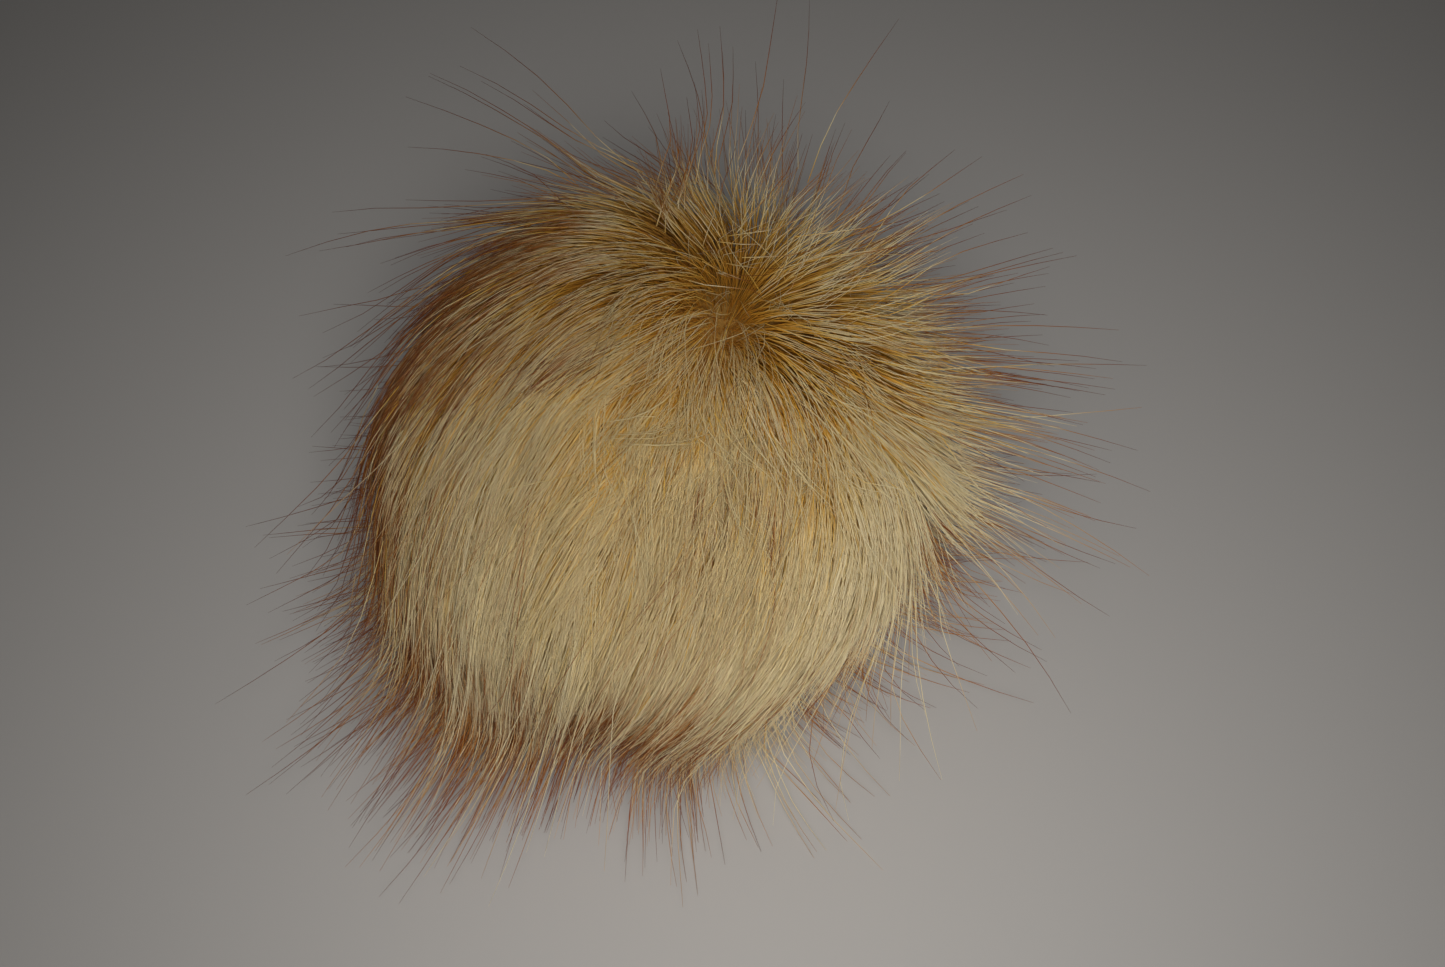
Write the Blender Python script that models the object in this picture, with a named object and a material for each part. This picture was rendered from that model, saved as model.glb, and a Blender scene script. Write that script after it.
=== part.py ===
"""Faux-fur pom pom: a round of long-pile fur cloth gathered into a ball, sitting on its drawn-up base.

Metres, +Z up. The origin is the middle of the gathered base, on the surface that the pom pom rests on.
The pile is parted in locks. Each lock grows from one facet of the cloth, and its corners follow the comb
of the pile, so that locks lie over one another like shingles and never cross.
"""

import math

import bmesh
import bpy
import numpy as np

MM = 0.001

# The gathered cloth: a ball whose lowest part is drawn down into a short neck with a flat end
CLOTH_RADIUS = 26 * MM
CLOTH_CENTRE_HEIGHT = 44 * MM
CLOTH_SUBDIVISIONS = 3
CLOSER_AT_CROWN = 1.45
NECK_BELOW = 27 * MM
NECK_RADIUS = 14 * MM

# The whorl on top, from which the pile is combed away all round
CROWN_LEAN_RIGHT = math.radians(14)
CROWN_LEAN_BACK = math.radians(-5)
CROWN_SOFTNESS = 0.45

# How the pile lies: straight out at the root, along the ball further out, and splayed at the tips
SHELL_RADIUS = 46 * MM
ROOT_SWEEP = 0.15
SHELL_SWEEP = 1.0
ROOT_RISE = 1.0
SHELL_RISE = 0.18
TIP_RISE = 0.9
TIPS_SPLAY_FROM = 47 * MM
TIPS_SPLAYED_AT = 57 * MM
COMB_FADES_FROM = math.radians(90)
COMB_GONE_AT = math.radians(150)

# Hand-combed towards the front, sagging a little, and level where it meets the surface
FORWARD_COMB = 0.55
SAG = 0.08
FLOOR_CUSHION = 6 * MM
COMB_GONE_BELOW = 2 * MM
COMB_FULL_ABOVE = 24 * MM

# The comb is uneven: it lies close in front, stands out at the right, and swirls to the left behind
COMB_COLUMNS = ("azimuth", "sweep", "rise", "swirl", "length")
COMB_TABLE = (
    (0, 0.60, 2.4, 0.00, 1.04),
    (55, 0.70, 2.6, 0.15, 0.90),
    (100, 0.75, 2.0, 0.60, 0.88),
    (145, 0.80, 1.5, 0.60, 0.96),
    (190, 0.90, 1.2, 0.30, 1.04),
    (235, 0.90, 0.9, 0.05, 1.02),
    (280, 0.85, 0.8, -0.05, 0.92),
    (320, 0.80, 1.1, 0.00, 0.96),
)

# A parting runs from the whorl down the right front, and the pile falls away on both sides of it
PARTING_AZIMUTH = math.radians(335)
PARTING_WIDTH = math.radians(22)
PARTING_PULL = 0.35

# Lengths of pile from the whorl to the underside, where it is pressed short
PILE_LENGTH_AT_CROWN = 40 * MM
PILE_LENGTH_AT_SIDE = 56 * MM
PILE_LENGTH_UNDER = 31 * MM
PILE_LENGTH_SPREAD = 0.14
SIDE_ANGLE = math.radians(100)
UNDER_ANGLE = math.radians(145)

# Locks: the rings along each, and how far it fills its share of the pile
RING_STATIONS = (0, 8 * MM, 17 * MM, 27 * MM, 38 * MM)
LAST_RING_TO_TIP = 8 * MM
ROOT_FILL = 0.80
LOCK_FILL = 0.88
LOCK_HALF_WIDTH = 5 * MM
CROWN_LOCK_HALF_WIDTH = 8 * MM
CROWN_LOCKS_TO = math.radians(65)
TAPER_POWER = 1.8
STEP = 1 * MM
SEED = 7

CLOTH_CENTRE = np.array((0.0, 0.0, CLOTH_CENTRE_HEIGHT))
CROWN_AXIS = np.array((math.tan(CROWN_LEAN_RIGHT), math.tan(CROWN_LEAN_BACK), 1.0))
CROWN_AXIS /= np.linalg.norm(CROWN_AXIS)
CROWN_BACK = np.cross(CROWN_AXIS, (1.0, 0.0, 0.0))
CROWN_BACK /= np.linalg.norm(CROWN_BACK)
CROWN_RIGHT = np.cross(CROWN_BACK, CROWN_AXIS)
FRONT = np.array((0.0, -1.0, 0.0))


def smooth(value, low, high):
    """0 below low, 1 above high, and a soft slope between them."""
    t = np.clip((value - low) / (high - low), 0, 1)
    return t * t * (3 - 2 * t)


def comb_value(azimuth, column):
    """A column of the comb table, read smoothly round the ball."""
    rows = np.array(COMB_TABLE, float)
    at, values = np.radians(rows[:, 0]), rows[:, COMB_COLUMNS.index(column)]
    at = np.append(at, at[0] + math.tau)
    values = np.append(values, values[0])
    turn = np.mod(azimuth, math.tau)
    row = np.clip(np.searchsorted(at, turn, side="right") - 1, 0, len(rows) - 1)
    share = smooth(turn, at[row], at[row + 1])
    return values[row] * (1 - share) + values[row + 1] * share


def crown_angles(outward):
    """The angle from the whorl and the azimuth round it of directions from the cloth's centre."""
    from_crown = np.arccos(np.clip(outward @ CROWN_AXIS, -1, 1))
    azimuth = np.arctan2(outward @ CROWN_BACK, outward @ CROWN_RIGHT)
    return from_crown, azimuth


def pile_direction(points):
    """The way that the pile runs at each point. It depends on the place alone, so no two fibres cross."""
    arm = points - CLOTH_CENTRE
    distance = np.linalg.norm(arm, axis=1)
    outward = arm / distance[:, None]
    from_crown, azimuth = crown_angles(outward)
    height = points[:, 2]
    away = np.cos(from_crown)[:, None] * outward - CROWN_AXIS
    away /= np.sqrt((away**2).sum(1, keepdims=True) + CROWN_SOFTNESS**2)
    forward = FRONT - (outward @ FRONT)[:, None] * outward
    around = np.cross(CROWN_AXIS, outward)

    depth = smooth(distance, CLOTH_RADIUS, SHELL_RADIUS)
    combed = 1 - smooth(from_crown, COMB_FADES_FROM, COMB_GONE_AT)
    combed *= smooth(height, COMB_GONE_BELOW, COMB_FULL_ABOVE)
    sweep = ROOT_SWEEP + (SHELL_SWEEP - ROOT_SWEEP) * depth
    sweep *= combed * comb_value(azimuth, "sweep")
    rise = ROOT_RISE + (SHELL_RISE * comb_value(azimuth, "rise") - ROOT_RISE) * depth
    rise += TIP_RISE * smooth(distance, TIPS_SPLAY_FROM, TIPS_SPLAYED_AT)
    off_parting = np.mod(azimuth - PARTING_AZIMUTH + math.pi, math.tau) - math.pi
    push = off_parting / PARTING_WIDTH * np.exp(0.5 - (off_parting / PARTING_WIDTH) ** 2 / 2)
    push = (push * PARTING_PULL + comb_value(azimuth, "swirl")) * depth * combed

    flow = outward * rise[:, None] + away * sweep[:, None] + around * push[:, None]
    flow += forward * (FORWARD_COMB * depth * combed)[:, None]
    flow[:, 2] -= SAG * depth
    falling = flow[:, 2] < 0
    level = np.maximum(height, 0) / (np.maximum(height, 0) + FLOOR_CUSHION)
    flow[falling, 2] *= level[falling]
    return flow / np.linalg.norm(flow, axis=1, keepdims=True)


def grow(points, length):
    """Follows the pile from each point and returns the places passed, one at every step."""
    places = [points]
    for _ in range(math.ceil(length / STEP)):
        middle = points + pile_direction(points) * STEP / 2
        points = points + pile_direction(middle) * STEP
        places.append(points)
    return np.array(places)


def place_along(places, length):
    """The place at a length along grown pile."""
    step = min(length / STEP, len(places) - 1.001)
    share = step % 1
    return places[int(step)] * (1 - share) + places[int(step) + 1] * share


def pile_length(outward):
    """The length of pile that grows from the cloth in each direction from its centre."""
    from_crown, azimuth = crown_angles(outward)
    to_side = smooth(from_crown, 0, SIDE_ANGLE)
    to_under = smooth(from_crown, SIDE_ANGLE, UNDER_ANGLE)
    length = PILE_LENGTH_AT_CROWN + (PILE_LENGTH_AT_SIDE - PILE_LENGTH_AT_CROWN) * to_side
    length += (PILE_LENGTH_UNDER - PILE_LENGTH_AT_SIDE) * to_under
    return length * comb_value(azimuth, "length")


def make_cloth(mesh):
    """The gathered cloth ball, its facets smallest at the whorl. Returns the facets that carry locks."""
    bmesh.ops.create_icosphere(mesh, subdivisions=CLOTH_SUBDIVISIONS, radius=CLOTH_RADIUS)
    for vert in mesh.verts:
        from_crown, azimuth = crown_angles(np.array(vert.co) / CLOTH_RADIUS)
        from_crown = math.pi * (from_crown / math.pi) ** CLOSER_AT_CROWN
        side = CROWN_RIGHT * math.cos(azimuth) + CROWN_BACK * math.sin(azimuth)
        outward = CROWN_AXIS * math.cos(from_crown) + side * math.sin(from_crown)
        vert.co = CLOTH_CENTRE + outward * CLOTH_RADIUS
        if vert.co.z < NECK_BELOW:
            vert.co.z = 0
            if vert.co.length > NECK_RADIUS * 2 / 3:
                vert.co.length = NECK_RADIUS
    flat = [face for face in mesh.faces if all(vert.co.z == 0 for vert in face.verts)]
    facets = [face for face in mesh.faces if any(vert.co.z > 0 for vert in face.verts)]
    bmesh.ops.dissolve_faces(mesh, faces=flat)
    return facets


def add_lock(mesh, facet, places, length, widest):
    """Draws one lock out of its facet. places holds the facet's three corners at every step of growth."""
    verts = list(facet.verts)
    bmesh.ops.delete(mesh, geom=[facet], context="FACES_ONLY")
    for station in RING_STATIONS:
        if station > length - LAST_RING_TO_TIP:
            break
        corners = place_along(places, station)
        middle = corners.mean(0)
        half_width = np.linalg.norm(corners - middle, axis=1).mean()
        fill = min(LOCK_FILL, widest / half_width) if station else ROOT_FILL
        fill *= 1 - (station / length) ** TAPER_POWER
        ring = [mesh.verts.new(middle + (corner - middle) * fill) for corner in corners]
        for i in range(3):
            j = (i + 1) % 3
            mesh.faces.new((verts[i], verts[j], ring[j], ring[i]))
        verts = ring
    tip = mesh.verts.new(place_along(places, length).mean(0))
    for i in range(3):
        mesh.faces.new((verts[i], verts[(i + 1) % 3], tip))


def make_fur(mesh, facets):
    """Grows a lock from every facet, wider at the whorl, where the pile opens most."""
    roots = np.array([[vert.co[:] for vert in facet.verts] for facet in facets])
    outward = roots.mean(1) - CLOTH_CENTRE
    outward /= np.linalg.norm(outward, axis=1, keepdims=True)
    spread = np.random.default_rng(SEED).uniform(-1, 1, len(facets)) * PILE_LENGTH_SPREAD
    lengths = pile_length(outward) * (1 + spread)
    places = grow(roots.reshape(-1, 3), lengths.max()).reshape(-1, len(facets), 3, 3)
    off_crown = smooth(crown_angles(outward)[0], 0, CROWN_LOCKS_TO)
    widest = CROWN_LOCK_HALF_WIDTH * (1 - off_crown) + LOCK_HALF_WIDTH * off_crown
    for i, facet in enumerate(facets):
        add_lock(mesh, facet, places[:, i], lengths[i], widest[i])


def fur_material():
    """Cream and golden acrylic pile."""
    material = bpy.data.materials.new("faux_fur")
    material.use_nodes = True
    shader = material.node_tree.nodes["Principled BSDF"]
    shader.inputs["Base Color"].default_value = (0.62, 0.44, 0.19, 1)
    shader.inputs["Roughness"].default_value = 0.6
    shader.inputs["Metallic"].default_value = 0.0
    return material


def make_pom_pom():
    mesh = bmesh.new()
    make_fur(mesh, make_cloth(mesh))
    bmesh.ops.recalc_face_normals(mesh, faces=mesh.faces)
    data = bpy.data.meshes.new("fur_ball")
    mesh.to_mesh(data)
    mesh.free()
    data.materials.append(fur_material())
    pom_pom = bpy.data.objects.new("fur_ball", data)
    bpy.context.scene.collection.objects.link(pom_pom)


for old in list(bpy.data.objects):
    bpy.data.objects.remove(old)
make_pom_pom()
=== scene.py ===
import math

import bmesh
import bpy
import numpy as np
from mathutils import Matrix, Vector


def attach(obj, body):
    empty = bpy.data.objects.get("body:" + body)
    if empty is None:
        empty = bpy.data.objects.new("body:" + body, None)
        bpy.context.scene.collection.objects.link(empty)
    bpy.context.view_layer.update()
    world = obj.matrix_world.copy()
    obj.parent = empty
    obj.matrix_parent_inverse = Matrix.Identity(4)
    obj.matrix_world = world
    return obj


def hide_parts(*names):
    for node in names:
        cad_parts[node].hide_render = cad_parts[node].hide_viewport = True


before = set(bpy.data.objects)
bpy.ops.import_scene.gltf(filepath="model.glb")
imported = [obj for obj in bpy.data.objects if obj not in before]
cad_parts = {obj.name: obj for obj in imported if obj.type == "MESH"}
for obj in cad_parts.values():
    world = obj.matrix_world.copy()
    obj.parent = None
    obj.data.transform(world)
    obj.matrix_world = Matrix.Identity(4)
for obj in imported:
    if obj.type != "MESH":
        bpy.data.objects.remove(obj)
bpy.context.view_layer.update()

# A faux-fur pom pom: a round of long-pile fur cloth, gathered into a ball and combed to the front.
# Its fibres follow the same comb as the solid's locks, gathered in finer locks.

MM = 0.001
NOT_ZERO = 1e-9
SEED = 5
FRONT = np.array((0.0, -1.0, 0.0))

# The gathered cloth under the pile. Its neck is given as radius and height (mm), down to the floor.
CLOTH_RADIUS = 26 * MM
CLOTH_CENTRE = np.array((0.0, 0.0, 44 * MM))
CLOTH_RINGS = range(6, 136, 6)
CLOTH_SIDES = 120
NECK_OUTLINE = ((17.5, 21), (15.5, 14), (14.6, 7), (14, 1.5), (13.2, 0), (9, 0), (4, 0))
NECK_TOP = 23 * MM
PLEATS = 20
PLEAT_DEPTH = 0.9 * MM
PLEATS_DEEPEN_OVER = 8 * MM
PLEATS_FLATTEN_OVER = 1 * MM

# The whorl on top, from which the pile is combed away all round
CROWN_LEAN_RIGHT = math.radians(20)
CROWN_LEAN_BACK = math.radians(-8)
CROWN_SOFTNESS = 0.45
CROWN_AXIS = np.array((math.tan(CROWN_LEAN_RIGHT), math.tan(CROWN_LEAN_BACK), 1.0))
CROWN_AXIS /= np.linalg.norm(CROWN_AXIS)
CROWN_BACK = np.cross(CROWN_AXIS, (1.0, 0.0, 0.0))
CROWN_BACK /= np.linalg.norm(CROWN_BACK)
CROWN_RIGHT = np.cross(CROWN_BACK, CROWN_AXIS)

# How the pile lies: straight out at the root, along the ball further out, and splayed at the tips
SHELL_RADIUS = 43 * MM
ROOT_SWEEP, SHELL_SWEEP = 0.15, 1.0
ROOT_RISE, SHELL_RISE, TIP_RISE = 1.0, 0.18, 0.9
TIPS_SPLAY = (47 * MM, 57 * MM)
COMB_FADES = (math.radians(90), math.radians(150))
COMB_GAINS_WITH_HEIGHT = (2 * MM, 24 * MM)
FORWARD_COMB = 0.55
SAG = 0.08
FLOOR_CUSHION = 6 * MM

# The comb round the ball, from the right (0) by the back (90) and left (180) to the front (270)
COMB_COLUMNS = ("azimuth", "sweep", "rise", "swirl", "length")
COMB_TABLE = (
    (0, 0.60, 2.2, 0.00, 0.88),
    (55, 0.70, 2.4, 0.15, 0.88),
    (100, 0.75, 2.0, 0.60, 0.88),
    (145, 0.80, 1.5, 0.60, 0.95),
    (190, 0.90, 1.2, 0.30, 1.10),
    (235, 0.90, 0.9, 0.05, 0.95),
    (280, 0.85, 0.8, -0.05, 0.67),
    (320, 0.80, 1.1, 0.00, 0.93),
)
PARTING_AZIMUTH = math.radians(335)
PARTING_WIDTH = math.radians(22)
PARTING_PULL = 0.35

# Lengths of pile (mm) by angle from the whorl: longest on the shoulder, pressed short underneath
LENGTH_TABLE = ((0, 28), (40, 46), (100, 37), (145, 25), (180, 25))
LONGEST_PILE = 90 * MM
LENGTH_LIMITS = (0.6, 1.25)

# The box that the longest hairs keep within
REACH_LOW = np.array((-70 * MM, -72 * MM, -1.0))
REACH_HIGH = np.array((83 * MM, 72 * MM, 100 * MM))

# Roots are scattered over the cloth, closest at the whorl, and fibres are followed from them in steps
LOWEST_ROOT_ANGLE = math.radians(150)
CROWN_DENSITY = 1.8
ROOT_TURN = math.pi * (1 + math.sqrt(5))
ROOT_SCATTER = 0.3
STEP = 1.5 * MM
SEARCH_PARTS = 40

# Fibres are drawn together in locks, and in finer tufts, towards their tips
LOCKS = 700
TUFTS = 3400
DRAWN_TOGETHER = (6 * MM, 46 * MM)
LOCK_RUFFLE = 0.07
TUFT_RUFFLE = 0.06
CROWN_RUFFLE = 0.24
CROWN_RUFFLE_WIDTH = math.radians(28)
LOCK_LENGTH_SPREAD = 0.06

# The kinds of fibre. start, length and spread are shares of the pile length, and radius is in millimetres.
# A fibre's brown tips are dye_least and dye_share times its lock's, from a share of its length onwards; at
# the back the lock's brown is partly painted shade.
FIBRE_COLUMNS = (
    "name", "count", "start", "length", "spread", "lock", "tuft", "stray", "radius", "golden",
    "dye_least", "dye_share", "dyed_from", "pieces",
)
PILE_PIECES = ("_right", "_back_right", "_back_left", "_left", "_front")
FIBRE_TABLE = (
    ("pile", 25500, 0.30, 1.00, 0.10, 0.34, 0.40, 0.03, 0.07, 0.0, 0.0, 0.6, (0.68, 0.86), PILE_PIECES),
    ("guard_hair", 3400, 0.50, 1.42, 0.15, 0.50, 0.40, 0.15, 0.08, 0.2, 0.05, 1.7, (0.5, 0.74), ("",)),
)
FIBRE_SEGMENTS = 5
FIBRE_SIDES = 3
THICKNESS_TABLE = ((0, 1), (0.6, 1), (0.85, 0.75), (1, 0.25))
STRAY_SHAPE, STRAY_SIZE = 1.5, 0.66
FRIZZ = 0.2 * MM
FRIZZ_SCALE = 60.0
OWN_FRIZZ = 90.0
MAP_SPREAD = 0.003
MAP_EDGE = 0.01
OWN_ATTRIBUTES = ("thickness", "own", "along", "shade", "place", "side")

# Brown tips of the locks: dye at the rim, where a few are strongly dyed, and in a few streaks; behind, partly
# dye and partly painted shade
STRONGLY_DYED = 0.35
STRONG_DYE, WEAK_DYE = 1.4, 0.32
RIM_DYE = (math.radians(28), math.radians(70))
BACK_DYE_AND_SHADE = 1.1
BACK_DYE_AND_SHADE_FROM = (0.08, 0.48)
STREAKED = 0.018
STREAK_DYE = 1.3
MOST_DYE = 1.5
LOCK_DYE_SPREAD, FIBRE_DYE_SPREAD = 0.1, 0.12
DYED_SOONER = 0.2
SOONER_FOR_DYE = (0.7, 1.2)
TIPS_ON_MAP = 0.8

# Golden locks, against cream ones: round the whorl and at the back left, and in the valley right of the whorl
# as painted shade
WHORL_GOLDEN = 1.05
WHORL_GOLDEN_FADES = (math.radians(13), math.radians(31))
BACK_LEFT = np.array((-0.55, 0.83, 0.0))
BACK_LEFT_GOLDEN = 0.7
BACK_LEFT_FROM = (-0.1, 0.5)
VALLEY_SHADE_GOLDEN = 0.7
LOCK_SHADE_SPREAD, TUFT_SHADE_SPREAD, FIBRE_SHADE_SPREAD = 0.18, 0.16, 0.08

# Painted shade: the darker root colours are shown further up the fibres in the valley right of the whorl and
# at the back
VALLEY_AZIMUTH = math.radians(36)
VALLEY_WIDTH = math.radians(20)
VALLEY_STARTS = (0, math.radians(9))
VALLEY_FADES = (math.radians(28), math.radians(50))
VALLEY_SHADE_DEPTH = 14.0
BACK_SHADE_DEPTH = 4.2
BACK_SHADE_FROM = (0.05, 0.45)

# The light tuft that stands up behind the whorl
CREST_AZIMUTH = math.radians(82)
CREST_WIDTH = math.radians(22)
CREST_FADES = (math.radians(6), math.radians(18))
CREST_CREAM = 0.6

# The mass of short underfur below the fibres
UNDERFUR_LENGTH = 0.56
UNDERFUR_LIFT = 2 * MM
UNDERFUR_RADIUS = 37 * MM
UNDERFUR_DIVISIONS = 5

# Colours from root to tip of the cream and the golden fibres, then of the underfur, darkened with painted
# shade, and of the backing
CREAM = (
    (0.0, "#B87C22"),
    (0.3, "#E4AC42"),
    (0.45, "#F8D478"),
    (0.62, "#FEEAB0"),
    (0.8, "#FFF0C6"),
    (0.86, "#CE8F44"),
    (0.92, "#A0521E"),
    (1.0, "#642C10"),
)
# The golden root stops also give the painted shade of the valley and the back, where the root colours are
# shown further up the fibres
GOLDEN = (
    (0.0, "#7E4E1C"),
    (0.3, "#DE9C32"),
    (0.5, "#F6BA44"),
    (0.64, "#F6C95E"),
    (0.8, "#FDEAB4"),
    (0.86, "#B8742A"),
    (0.92, "#88441A"),
    (1.0, "#562810"),
)
# painted shade: the underfur's golden is darkened for the shade that the pile casts into it
UNDERFUR_SHADED_COLOURS = ((0.3, "#A8782E"), (0.55, "#C29648"), (0.75, "#D2AF68"))
BACKING_COLOURS = ((0.35, "#8A5F2A"), (0.65, "#B5853F"))
FLOOR_COLOUR = "#BAB7B4"
FLOOR_HALF = 3.0

# The camera looks down at the front of the ball, a little to its right
CAMERA_ELEVATION = math.radians(57)
CAMERA_DISTANCE = 0.5
CAMERA_AIM_RIGHT = 12.8 * MM
CAMERA_AIM_UP = -1.5 * MM
FIELD_WIDTH = 235.7 * MM
SENSOR_WIDTH = 36
NEAREST_SEEN = 0.01

# One soft light from above the front, and a weak light from all round
KEY_PLACE = (0.04, -0.34, 0.42)
KEY_AIM = (0.025, -0.07, 0)
KEY_SPREAD = math.radians(40.5)
KEY_RADIUS = 0.16
KEY_POWER = 13.4
KEY_COLOUR = (1.0, 0.985, 0.96)
ROOM_COLOUR = (1, 0.99, 0.98, 1)
ROOM_STRENGTH = 0.052


def smooth(value, low, high):
    """0 below low, 1 above high, and a soft slope between them."""
    t = np.clip((value - low) / (high - low), 0, 1)
    return t * t * (3 - 2 * t)


def unit(vectors):
    """The vectors at length 1. One without a length stays as it is."""
    return vectors / (np.linalg.norm(vectors, axis=1, keepdims=True) + NOT_ZERO)


def turned_from(azimuth, middle):
    """How far each azimuth is turned from a middle one, to either side."""
    return np.mod(azimuth - middle + math.pi, math.tau) - math.pi


def comb_value(azimuth, column):
    """A column of the comb table, read smoothly round the ball."""
    rows = np.array(COMB_TABLE, float)
    at, values = np.radians(rows[:, 0]), rows[:, COMB_COLUMNS.index(column)]
    at = np.append(at, at[0] + math.tau)
    values = np.append(values, values[0])
    turn = np.mod(azimuth, math.tau)
    row = np.clip(np.searchsorted(at, turn, side="right") - 1, 0, len(rows) - 1)
    share = smooth(turn, at[row], at[row + 1])
    return values[row] * (1 - share) + values[row + 1] * share


def crown_angles(outward):
    """The angle from the whorl and the azimuth round it of directions from the cloth's centre."""
    from_crown = np.arccos(np.clip(outward @ CROWN_AXIS, -1, 1))
    azimuth = np.arctan2(outward @ CROWN_BACK, outward @ CROWN_RIGHT)
    return from_crown, azimuth


def pile_direction(points):
    """The way that the pile runs at each point."""
    arm = points - CLOTH_CENTRE
    distance = np.linalg.norm(arm, axis=1)
    outward = arm / distance[:, None]
    from_crown, azimuth = crown_angles(outward)
    height = points[:, 2]
    away = np.cos(from_crown)[:, None] * outward - CROWN_AXIS
    away /= np.sqrt((away**2).sum(1, keepdims=True) + CROWN_SOFTNESS**2)
    forward = FRONT - (outward @ FRONT)[:, None] * outward
    around = np.cross(CROWN_AXIS, outward)

    depth = smooth(distance, CLOTH_RADIUS, SHELL_RADIUS)
    combed = 1 - smooth(from_crown, *COMB_FADES)
    combed *= smooth(height, *COMB_GAINS_WITH_HEIGHT)
    sweep = ROOT_SWEEP + (SHELL_SWEEP - ROOT_SWEEP) * depth
    sweep *= combed * comb_value(azimuth, "sweep")
    rise = ROOT_RISE + (SHELL_RISE * comb_value(azimuth, "rise") - ROOT_RISE) * depth
    rise += TIP_RISE * smooth(distance, *TIPS_SPLAY)
    off = turned_from(azimuth, PARTING_AZIMUTH) / PARTING_WIDTH
    push = off * np.exp(0.5 - off**2 / 2) * PARTING_PULL
    push = (push + comb_value(azimuth, "swirl")) * depth * combed

    flow = outward * rise[:, None] + away * sweep[:, None] + around * push[:, None]
    flow += forward * (FORWARD_COMB * depth * combed)[:, None]
    flow[:, 2] -= SAG * depth
    falling = flow[:, 2] < 0
    level = np.maximum(height, 0) / (np.maximum(height, 0) + FLOOR_CUSHION)
    flow[falling, 2] *= level[falling]
    return unit(flow)


def pile_length(outward):
    """The length of pile that grows from the cloth in each direction from its centre."""
    from_crown, azimuth = crown_angles(outward)
    angles, lengths = np.array(LENGTH_TABLE, float).T
    return np.interp(np.degrees(from_crown), angles, lengths) * MM * comb_value(azimuth, "length")


def root_directions(count, rng):
    """Scattered directions in which fibres leave the cloth, closest at the whorl, down to its neck."""
    height = 1 - 2 * ((np.arange(count) + rng.uniform(0, 1, count)) / count) ** CROWN_DENSITY
    turn = ROOT_TURN * (np.arange(count) + rng.uniform(-ROOT_SCATTER, ROOT_SCATTER, count))
    radius = np.sqrt(np.clip(1 - height**2, 0, 1))[:, None]
    outward = CROWN_AXIS * height[:, None]
    outward += (CROWN_RIGHT * np.cos(turn)[:, None] + CROWN_BACK * np.sin(turn)[:, None]) * radius
    return outward[outward[:, 2] > math.cos(LOWEST_ROOT_ANGLE)]


def grow(outward, drift, longest):
    """Follows fibres from their roots. drift bends each one off the comb by its own amount."""
    points = CLOTH_CENTRE + outward * CLOTH_RADIUS
    places = [points]
    for _ in range(math.ceil(longest / STEP) + 1):
        middle = points + (pile_direction(points) + drift) * STEP / 2
        points = points + unit(pile_direction(middle) + drift) * STEP
        places.append(points)
    return np.array(places)


def nearest(points, others):
    """The index in others of the one nearest to each point."""
    parts = np.array_split(points, SEARCH_PARTS)
    return np.concatenate([np.argmin(((others - part[:, None]) ** 2).sum(2), axis=1) for part in parts])


def draw_together(paths, outward, leaders, strength):
    """Draws fibres towards the leader of their lock or tuft, more and more from root to tip."""
    leader = nearest(outward, leaders["outward"])
    reach = np.arange(len(paths)) * STEP
    pull = (strength * smooth(reach, *DRAWN_TOGETHER))[:, None, None]
    return paths + (leaders["paths"][: len(paths), leader] - paths) * pull, leader


def along_paths(paths, lengths, shares):
    """Points at the same shares of each fibre's length, as an array of fibre, point, coordinate."""
    step = shares[None] * lengths[:, None] / STEP
    low = np.minimum(step.astype(int), len(paths) - 2)
    share = (step - low)[..., None]
    fibre = np.arange(paths.shape[1])[:, None]
    return paths[low, fibre] * (1 - share) + paths[low + 1, fibre] * share


def linear(code):
    """An sRGB hex colour as the linear colour that Blender wants."""
    parts = [int(code[i : i + 2], 16) / 255 for i in (1, 3, 5)]
    return (*[p / 12.92 if p <= 0.04045 else ((p + 0.055) / 1.055) ** 2.4 for p in parts], 1)


def node(tree, kind, into=None, **settings):
    """Adds a node. into gives its sockets values or another node's output."""
    made = tree.nodes.new(kind)
    for name, value in settings.items():
        setattr(made, name, value)
    for name, value in (into or {}).items():
        if isinstance(value, bpy.types.NodeSocket):
            tree.links.new(value, made.inputs[name])
        else:
            made.inputs[name].default_value = value
    return made


def ramp(tree, factor, stops):
    """A colour ramp with the stops of a table of place and hex colour."""
    made = node(tree, "ShaderNodeValToRGB", {"Fac": factor})
    elements = made.color_ramp.elements
    while len(elements) < len(stops):
        elements.new(1)
    for element, (place, code) in zip(elements, stops):
        element.position = place
        element.color = linear(code)
    return made.outputs["Color"]


def new_material(name, roughness):
    """A material, its node tree and its shader."""
    material = bpy.data.materials.new(name)
    material.use_nodes = True
    shader = material.node_tree.nodes["Principled BSDF"]
    shader.inputs["Roughness"].default_value = roughness
    return material, material.node_tree, shader


def add_piece(name, data):
    """Puts a mesh, light or camera into the scene as an object."""
    piece = bpy.data.objects.new(name, data)
    bpy.context.scene.collection.objects.link(piece)
    return piece


def modacrylic_pile():
    """Modacrylic fur fibre, dyed cream or golden and tipped brown: soft sheen, no gloss.

    The colour follows the fibre's own map: across it the shade from cream to golden, up it from root to tip.
    """
    material, tree, shader = new_material("modacrylic_pile", 0.5)
    place = node(tree, "ShaderNodeUVMap", uv_map="OFBake").outputs["UV"]
    parts = node(tree, "ShaderNodeSeparateXYZ", {"Vector": place}).outputs
    mixed = node(tree, "ShaderNodeMix", data_type="RGBA")
    tree.links.new(parts["X"], mixed.inputs["Factor"])
    tree.links.new(ramp(tree, parts["Y"], CREAM), mixed.inputs["A"])
    tree.links.new(ramp(tree, parts["Y"], GOLDEN), mixed.inputs["B"])
    tree.links.new(mixed.outputs["Result"], shader.inputs["Base Color"])
    shader.inputs["IOR"].default_value = 1.5
    shader.inputs["Specular IOR Level"].default_value = 0.3
    return material


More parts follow.
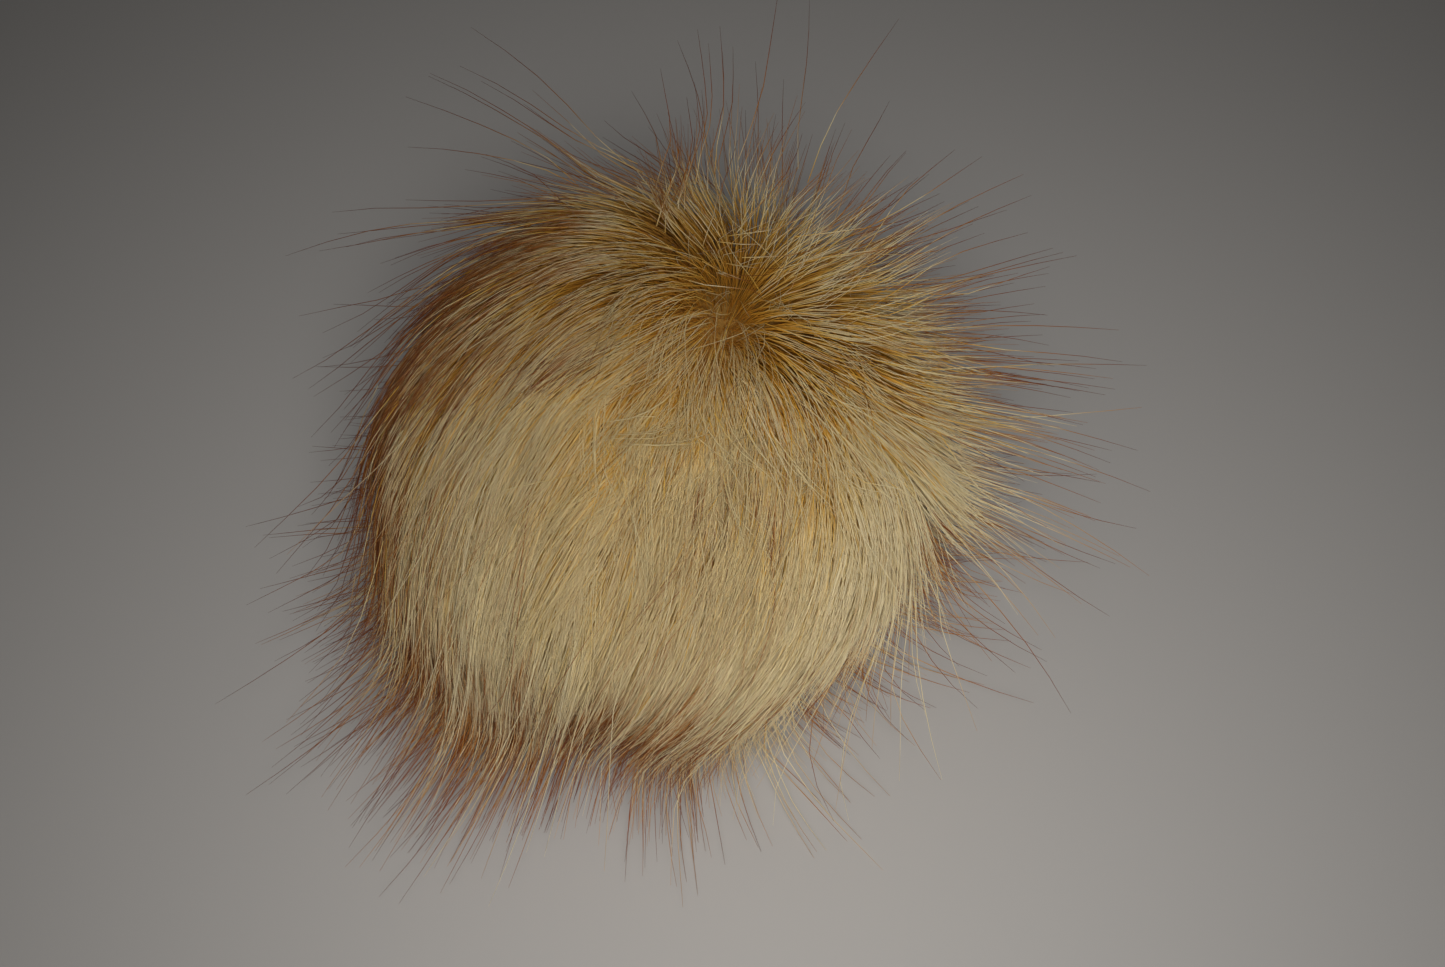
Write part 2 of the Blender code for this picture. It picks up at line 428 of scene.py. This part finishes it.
def bumpy_cloth(name, roughness, colours, colour_noise, height, bump_settings):
    """A material with noisy colours and a bump of the given height texture, or of the same noise."""
    material, tree, shader = new_material(name, roughness)
    spot = node(tree, "ShaderNodeTexCoord").outputs["Object"]
    patches = node(tree, "ShaderNodeTexNoise", {"Vector": spot, **colour_noise}).outputs["Fac"]
    tree.links.new(ramp(tree, patches, colours), shader.inputs["Base Color"])
    if height:
        kind, settings = height
        patches = node(tree, kind, {"Vector": spot, **settings}).outputs["Distance"]
    bump = node(tree, "ShaderNodeBump", {"Height": patches, **bump_settings})
    tree.links.new(bump.outputs["Normal"], shader.inputs["Normal"])
    return material


def knit_backing():
    """Polyester knit backing cloth, dyed like the roots: fine wales that show only under the ball."""
    noise = {"Scale": 260.0, "Detail": 3.0}
    loops = ("ShaderNodeTexVoronoi", {"Scale": 700.0})
    bump = {"Strength": 0.5, "Distance": 0.4 * MM}
    return bumpy_cloth("knit_backing", 0.85, BACKING_COLOURS, noise, loops, bump)


def underfur():
    """Dense short acrylic underfur: a soft golden mass under the pile, seen only between its fibres, darkened
    with painted shade of the pile over it.
    """
    noise = {"Scale": 420.0, "Detail": 4.0}
    bump = {"Strength": 0.8, "Distance": 1.0 * MM}
    return bumpy_cloth("acrylic_underfur", 0.9, UNDERFUR_SHADED_COLOURS, noise, None, bump)


def fibre_tree(material):
    """Sweeps a thin three-sided fibre along every line, with a little frizz, and maps its colour place."""
    tree = bpy.data.node_groups.new("fibres", "GeometryNodeTree")
    face = tree.interface
    face.new_socket("Geometry", in_out="INPUT", socket_type="NodeSocketGeometry")
    for name in ("Fibre Radius", "Frizz", "Frizz Scale"):
        face.new_socket(name, in_out="INPUT", socket_type="NodeSocketFloat")
    face.new_socket("Seed", in_out="INPUT", socket_type="NodeSocketInt")
    face.new_socket("Geometry", in_out="OUTPUT", socket_type="NodeSocketGeometry")
    given = node(tree, "NodeGroupInput").outputs

    def value(name, kind="FLOAT"):
        named = node(tree, "GeometryNodeInputNamedAttribute", {"Name": name}, data_type=kind)
        return named.outputs["Attribute"]

    def maths(kind, a, b):
        return node(tree, "ShaderNodeMath", {0: a, 1: b}, operation=kind).outputs[0]

    # Each fibre gets its own thickness along its length
    radius = maths("MULTIPLY", value("thickness"), given["Fibre Radius"])
    lines = node(tree, "GeometryNodeMeshToCurve", {"Mesh": given["Geometry"]}).outputs["Curve"]

    # Frizz grows from root to tip and is each fibre's own
    own = maths("ADD", maths("MULTIPLY", value("own"), OWN_FRIZZ), given["Seed"])
    noise = {"Scale": given["Frizz Scale"], "W": own, "Detail": 1.0}
    noise = node(tree, "ShaderNodeTexNoise", noise, noise_dimensions="4D").outputs["Color"]
    centred = {0: noise, 1: (0.5, 0.5, 0.5)}
    centred = node(tree, "ShaderNodeVectorMath", centred, operation="SUBTRACT").outputs[0]
    amount = maths("MULTIPLY", maths("MULTIPLY", value("along"), given["Frizz"]), 2.0)
    frizz = node(tree, "ShaderNodeVectorMath", {0: centred, "Scale": amount}, operation="SCALE").outputs[0]
    bent = node(tree, "GeometryNodeSetPosition", {"Geometry": lines, "Offset": frizz}).outputs[0]

    # Fibres that reach the floor lie on it
    spot = node(tree, "GeometryNodeInputPosition").outputs[0]
    spot = node(tree, "ShaderNodeSeparateXYZ", {"Vector": spot}).outputs
    lifted = maths("MAXIMUM", spot["Z"], radius)
    clear = node(tree, "ShaderNodeCombineXYZ", {"X": spot["X"], "Y": spot["Y"], "Z": lifted}).outputs[0]
    laid = node(tree, "GeometryNodeSetPosition", {"Geometry": bent, "Position": clear}).outputs[0]

    # The section remembers its sides, so that every face gets some width on the map
    section = {"Resolution": FIBRE_SIDES, "Radius": 1.0}
    section = node(tree, "GeometryNodeCurvePrimitiveCircle", section, mode="RADIUS").outputs["Curve"]
    sided = {"Geometry": section, "Name": "side", "Value": node(tree, "GeometryNodeInputPosition").outputs[0]}
    store = "GeometryNodeStoreNamedAttribute"
    sided = node(tree, store, sided, data_type="FLOAT_VECTOR", domain="POINT").outputs[0]
    swept = {"Curve": laid, "Profile Curve": sided, "Scale": radius, "Fill Caps": True}
    swept = node(tree, "GeometryNodeCurveToMesh", swept).outputs["Mesh"]

    # The map has the shade across and the place from root to tip up
    across = node(tree, "ShaderNodeSeparateXYZ", {"Vector": value("side", "FLOAT_VECTOR")}).outputs
    map_x = maths("ADD", value("shade"), maths("MULTIPLY", across["X"], MAP_SPREAD))
    map_y = maths("ADD", value("place"), maths("MULTIPLY", across["Y"], MAP_SPREAD))
    spot_on_map = node(tree, "ShaderNodeCombineXYZ", {"X": map_x, "Y": map_y}).outputs[0]
    mapped = {"Geometry": swept, "Name": "OFBake", "Value": spot_on_map}
    mapped = node(tree, store, mapped, data_type="FLOAT2", domain="CORNER").outputs[0]

    rounded = node(tree, "GeometryNodeSetShadeSmooth", {"Geometry": mapped}).outputs[0]
    real = node(tree, "GeometryNodeRealizeInstances", {"Geometry": rounded}).outputs[0]
    dyed = node(tree, "GeometryNodeSetMaterial", {"Geometry": real, "Material": material}).outputs[0]
    node(tree, "NodeGroupOutput", {"Geometry": dyed})
    return tree


def sweep_fibres(name, points, values, tree, settings):
    """Makes one piece of fibres. points is fibre, point, coordinate; values has a number for each point."""
    count, per = points.shape[:2]
    lines = bpy.data.meshes.new(name)
    lines.vertices.add(count * per)
    lines.vertices.foreach_set("co", points.reshape(-1).astype(np.float32))
    start = (np.arange(count)[:, None] * per + np.arange(per - 1)[None]).reshape(-1)
    lines.edges.add(len(start))
    lines.edges.foreach_set("vertices", np.stack((start, start + 1), 1).reshape(-1).astype(np.int32))
    for key, numbers in values.items():
        attribute = lines.attributes.new(key, "FLOAT", "POINT")
        attribute.data.foreach_set("value", numbers.reshape(-1).astype(np.float32))
    maker = add_piece(name + "_lines", lines)
    modifier = maker.modifiers.new("fibres", "NODES")
    modifier.node_group = tree
    sockets = {item.name: item.identifier for item in tree.interface.items_tree if item.in_out == "INPUT"}
    for key, number in settings.items():
        modifier[sockets[key]] = number
    evaluated = maker.evaluated_get(bpy.context.evaluated_depsgraph_get())
    mesh = bpy.data.meshes.new_from_object(evaluated)
    mesh.name = name
    for key in OWN_ATTRIBUTES:
        if key in mesh.attributes:
            mesh.attributes.remove(mesh.attributes[key])
    bpy.data.objects.remove(maker)
    bpy.data.meshes.remove(lines)
    return add_piece(name, mesh)


def tip_dye_and_shade(outward, rng):
    """How brown each lock's tips are: little in front, strong round the rim, and at the back, where the brown
    is partly painted shade.
    """
    count = len(outward)
    rim = smooth(crown_angles(outward)[0], *RIM_DYE)
    rim *= np.where(rng.uniform(0, 1, count) < STRONGLY_DYED, STRONG_DYE, WEAK_DYE)
    # painted shade in part: the back, away from the light, gets browner tips
    behind = BACK_DYE_AND_SHADE * smooth(outward[:, 1], *BACK_DYE_AND_SHADE_FROM)
    streaks = STREAK_DYE * (rng.uniform(0, 1, count) < STREAKED)
    most = np.maximum(np.maximum(rim, behind), streaks)
    return np.clip(most + rng.normal(0, LOCK_DYE_SPREAD, count), 0, MOST_DYE)


def valley_shade(outward):
    """How deep in the valley right of the whorl each lock stands, where the pile gets painted shade: darker
    golden and more of its root colours.
    """
    from_crown, azimuth = crown_angles(outward)
    off = turned_from(azimuth, VALLEY_AZIMUTH) / VALLEY_WIDTH
    return np.exp(-(off**2)) * smooth(from_crown, *VALLEY_STARTS) * (1 - smooth(from_crown, *VALLEY_FADES))


def golden_share_and_valley_shade(outward, rng):
    """How golden each lock is: cream in front and at the right, golden round the whorl, behind and left, and
    in the valley right of the whorl as painted shade.
    """
    from_crown, azimuth = crown_angles(outward)
    golden = WHORL_GOLDEN * (1 - smooth(from_crown, *WHORL_GOLDEN_FADES))
    golden += BACK_LEFT_GOLDEN * smooth(outward @ BACK_LEFT, *BACK_LEFT_FROM)
    # painted shade: the valley right of the whorl is pushed towards the darker golden colours
    golden += VALLEY_SHADE_GOLDEN * valley_shade(outward)
    off = turned_from(azimuth, CREST_AZIMUTH) / CREST_WIDTH
    golden -= CREST_CREAM * np.exp(-(off**2)) * (1 - smooth(from_crown, *CREST_FADES))
    return golden + rng.normal(0, LOCK_SHADE_SPREAD, len(outward))


def grow_leaders(rng):
    """The leading fibre of each lock and of each tuft, with what the fibres round it share."""
    outward = root_directions(LOCKS, rng)
    count = len(outward)
    from_crown = crown_angles(outward)[0]
    ruffle = LOCK_RUFFLE + CROWN_RUFFLE * np.exp(-((from_crown / CROWN_RUFFLE_WIDTH) ** 2))
    # painted shade: the back, away from the light, shows darker root colours further up its fibres
    back = BACK_SHADE_DEPTH * smooth(outward[:, 1], *BACK_SHADE_FROM)
    locks = {
        "outward": outward,
        "paths": grow(outward, rng.normal(0, 1, (count, 3)) * ruffle[:, None], LONGEST_PILE),
        "dye_and_shade": tip_dye_and_shade(outward, rng),
        "golden": golden_share_and_valley_shade(outward, rng),
        "length": rng.normal(1, LOCK_LENGTH_SPREAD, count),
        # depth shows the darker root colours further up the fibres: painted shade in the valley and at the
        # back
        "depth": 1 + np.maximum(VALLEY_SHADE_DEPTH * valley_shade(outward), back),
    }
    outward = root_directions(TUFTS, rng)
    count = len(outward)
    tufts = {
        "outward": outward,
        "paths": grow(outward, rng.normal(0, TUFT_RUFFLE, (count, 3)), LONGEST_PILE),
        "golden": rng.normal(0, TUFT_SHADE_SPREAD, count),
    }
    return locks, tufts


def grow_fibres(kind, locks, tufts, rng):
    """All fibres of a kind: their root directions, their points, and the values of each point."""
    outward = root_directions(kind["count"], rng)
    count = len(outward)
    stray = rng.normal(0, 1, (count, 3)) * kind["stray"] * rng.gamma(STRAY_SHAPE, STRAY_SIZE, (count, 1))
    paths = grow(outward, stray, LONGEST_PILE)
    paths, tuft = draw_together(paths, outward, tufts, kind["tuft"])
    paths, lock = draw_together(paths, outward, locks, kind["lock"])

    # Lengths, cut where a fibre would leave the box of the longest hairs
    lengths = pile_length(outward) * kind["length"] * locks["length"][lock]
    lengths *= rng.normal(1, kind["spread"], count).clip(*LENGTH_LIMITS)
    far = ((paths > REACH_HIGH) | (paths < REACH_LOW)).any(2)
    lengths = np.where(far.any(0), np.minimum(lengths, far.argmax(0) * STEP), lengths)
    shares = np.linspace(kind["start"], 1, FIBRE_SEGMENTS + 1)
    along = shares[None].repeat(count, 0)

    # Each point's place on the map from root to tip, with brown at the end of the dyed fibres, partly painted
    # shade at the back
    lock_dye_and_shade = locks["dye_and_shade"][lock]
    dye_and_shade = kind["dye_least"] + lock_dye_and_shade * kind["dye_share"] + rng.normal(0, FIBRE_DYE_SPREAD, count)
    dye_and_shade = np.clip(dye_and_shade, 0, 1)[:, None]
    brown_from = rng.uniform(*kind["dyed_from"], count)
    brown_from -= DYED_SOONER * (lock_dye_and_shade.clip(*SOONER_FOR_DYE) - SOONER_FOR_DYE[0])
    brown_from = brown_from[:, None]
    # painted shade: the depth exponent holds each fibre in its darker root colours for longer
    place = np.clip(along / brown_from, 0, 1) ** locks["depth"][lock][:, None] * TIPS_ON_MAP
    place += np.clip((along - brown_from) / (1 - brown_from), 0, 1) * (1 - TIPS_ON_MAP) * dye_and_shade

    shade = kind["golden"] + locks["golden"][lock] + tufts["golden"][tuft]
    shade += rng.normal(0, FIBRE_SHADE_SPREAD, count)
    own = rng.uniform(0, 1, count)
    values = {
        "thickness": np.interp(along, *np.array(THICKNESS_TABLE, float).T),
        "own": own[:, None].repeat(FIBRE_SEGMENTS + 1, 1),
        "along": along,
        "shade": np.clip(shade, MAP_EDGE, 1 - MAP_EDGE)[:, None].repeat(FIBRE_SEGMENTS + 1, 1),
        "place": MAP_EDGE + (1 - 2 * MAP_EDGE) * place,
    }
    return outward, along_paths(paths, lengths, shares), values


def make_fur():
    """Grows every kind of fibre and returns the pieces, split round the ball from the right."""
    rng = np.random.default_rng(SEED)
    tree = fibre_tree(modacrylic_pile())
    locks, tufts = grow_leaders(rng)
    pieces = []
    for row in FIBRE_TABLE:
        kind = dict(zip(FIBRE_COLUMNS, row))
        outward, points, values = grow_fibres(kind, locks, tufts, rng)
        radius = kind["radius"] * MM
        settings = {"Fibre Radius": radius, "Frizz": FRIZZ, "Frizz Scale": FRIZZ_SCALE, "Seed": len(pieces)}
        turn = np.mod(np.arctan2(outward[:, 1], outward[:, 0]) + math.pi / 4, math.tau)
        sectors = np.array_split(np.argsort(turn), len(kind["pieces"]))
        for suffix, here in zip(kind["pieces"], sectors):
            part = {key: numbers[here] for key, numbers in values.items()}
            pieces.append(sweep_fibres(kind["name"] + suffix, points[here], part, tree, settings))
    return pieces


def make_underfur():
    """The mass of short underfur: a ball that swells out of the cloth the way the pile runs."""
    mesh = bmesh.new()
    bmesh.ops.create_icosphere(mesh, subdivisions=UNDERFUR_DIVISIONS, radius=1)
    outward = np.array([vert.co[:] for vert in mesh.verts])
    outward /= np.linalg.norm(outward, axis=1, keepdims=True)
    paths = grow(outward, np.zeros(3), LONGEST_PILE / 2)
    places = along_paths(paths, pile_length(outward) * UNDERFUR_LENGTH, np.ones(1))[:, 0]
    arms = places - CLOTH_CENTRE
    arms *= np.minimum(1, UNDERFUR_RADIUS / np.linalg.norm(arms, axis=1, keepdims=True))
    for vert, place in zip(mesh.verts, CLOTH_CENTRE + arms):
        vert.co = place
        vert.co.z = max(vert.co.z, UNDERFUR_LIFT)
    data = bpy.data.meshes.new("underfur")
    mesh.to_mesh(data)
    mesh.free()
    data.shade_smooth()
    data.materials.append(underfur())
    return add_piece("underfur", data)


def make_backing():
    """The cloth ball, drawn down to its neck with a gathered flat end."""
    top = CLOTH_CENTRE[2]
    turns = [math.radians(angle) for angle in CLOTH_RINGS]
    outline = [(CLOTH_RADIUS * math.sin(turn), top + CLOTH_RADIUS * math.cos(turn)) for turn in turns]
    outline += [(radius * MM, height * MM) for radius, height in NECK_OUTLINE]
    places, faces = [(0, 0, top + CLOTH_RADIUS)], []
    for radius, height in outline:
        depth = PLEAT_DEPTH * smooth(NECK_TOP - height, 0, PLEATS_DEEPEN_OVER)
        depth *= smooth(height, 0, PLEATS_FLATTEN_OVER)
        for side in range(CLOTH_SIDES):
            turn = math.tau * side / CLOTH_SIDES
            out = radius + depth * math.cos(PLEATS * turn)
            places.append((out * math.cos(turn), out * math.sin(turn), height))
    places.append((0, 0, 0))
    for side in range(CLOTH_SIDES):
        after = (side + 1) % CLOTH_SIDES
        faces.append((0, 1 + side, 1 + after))
        for ring in range(len(outline) - 1):
            upper, lower = 1 + ring * CLOTH_SIDES, 1 + (ring + 1) * CLOTH_SIDES
            faces.append((upper + side, lower + side, lower + after, upper + after))
        last = 1 + (len(outline) - 1) * CLOTH_SIDES
        faces.append((last + side, len(places) - 1, last + after))
    mesh = bpy.data.meshes.new("backing_cloth")
    mesh.from_pydata(places, [], faces)
    mesh.shade_smooth()
    mesh.materials.append(knit_backing())
    return add_piece("backing_cloth", mesh)


def make_floor():
    """A plain pale floor of painted board: matt, with a soft bright pool where the light falls."""
    mesh = bpy.data.meshes.new("floor")
    corners = [(x * FLOOR_HALF, y * FLOOR_HALF, 0) for x, y in ((-1, -1), (1, -1), (1, 1), (-1, 1))]
    mesh.from_pydata(corners, [], [(0, 1, 2, 3)])
    material, _, shader = new_material("painted_board", 0.7)
    shader.inputs["Base Color"].default_value = linear(FLOOR_COLOUR)
    mesh.materials.append(material)
    return add_piece("floor", mesh)


def add_camera():
    """The camera, in front of the ball and above it."""
    forward = Vector((0, math.cos(CAMERA_ELEVATION), -math.sin(CAMERA_ELEVATION)))
    up = Vector((0, math.sin(CAMERA_ELEVATION), math.cos(CAMERA_ELEVATION)))
    aim = Vector(CLOTH_CENTRE) + Vector((CAMERA_AIM_RIGHT, 0, 0)) + up * CAMERA_AIM_UP
    lens = bpy.data.cameras.new("camera")
    lens.sensor_width = SENSOR_WIDTH
    lens.lens = SENSOR_WIDTH * CAMERA_DISTANCE / FIELD_WIDTH
    lens.clip_start = NEAREST_SEEN
    camera = add_piece("camera", lens)
    camera.location = aim - forward * CAMERA_DISTANCE
    camera.rotation_euler = forward.to_track_quat("-Z", "Y").to_euler()
    bpy.context.scene.camera = camera


def add_lights():
    """A soft spotlight whose pool fades from its middle, and the weak light of the room."""
    lamp = bpy.data.lights.new("key", "SPOT")
    lamp.spot_size = KEY_SPREAD
    lamp.spot_blend = 1.0
    lamp.shadow_soft_size = KEY_RADIUS
    lamp.energy = KEY_POWER
    lamp.color = KEY_COLOUR
    light = add_piece("key", lamp)
    light.location = KEY_PLACE
    light.rotation_euler = (Vector(KEY_AIM) - Vector(KEY_PLACE)).to_track_quat("-Z", "Y").to_euler()
    world = bpy.data.worlds.new("studio")
    world.use_nodes = True
    room = world.node_tree.nodes["Background"].inputs
    room["Color"].default_value = ROOM_COLOUR
    room["Strength"].default_value = ROOM_STRENGTH
    bpy.context.scene.world = world
    bpy.context.scene.view_settings.view_transform = "Standard"


add_camera()
for piece in [*make_fur(), make_underfur(), make_backing()]:
    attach(piece, "root")
    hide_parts("fur_ball")

make_floor()
add_lights()
